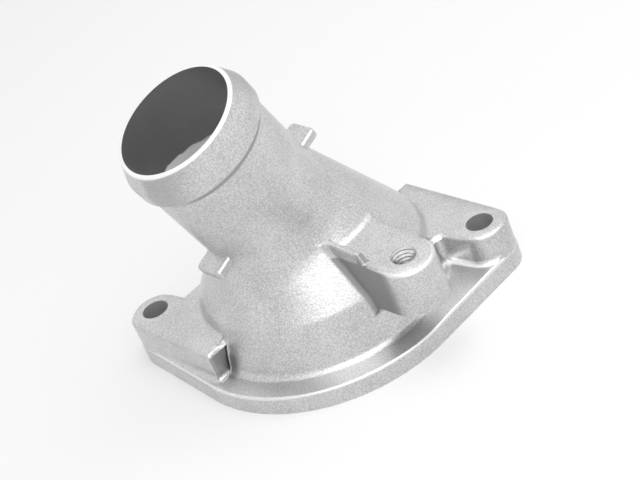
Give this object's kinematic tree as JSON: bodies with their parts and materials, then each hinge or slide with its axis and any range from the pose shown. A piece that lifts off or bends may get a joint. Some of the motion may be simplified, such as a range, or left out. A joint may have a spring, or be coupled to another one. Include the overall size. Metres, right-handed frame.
{
  "type": "coolant outlet housing",
  "caption": "Cast aluminium coolant outlet: oval bolt flange and domed housing with a slanted, beaded hose neck, hose stops and a threaded side boss.",
  "frame": {"origin": "centre of the flange's gasket face, midway between the two bolt holes", "axes": "+Z away from the gasket face, towards the hose neck; +X through the two bolt holes; the hose neck leans towards -X and -Y and the threaded boss stands out towards +X and -Y"},
  "size_m": [0.1006, 0.0786, 0.0762],
  "materials": {
    "cast_aluminium": "shot-blasted die casting, with a machined gasket face and hose rim"
  },
  "bodies": {
    "root": {"coolant_outlet": "cast_aluminium"}
  },
  "joints": []
}
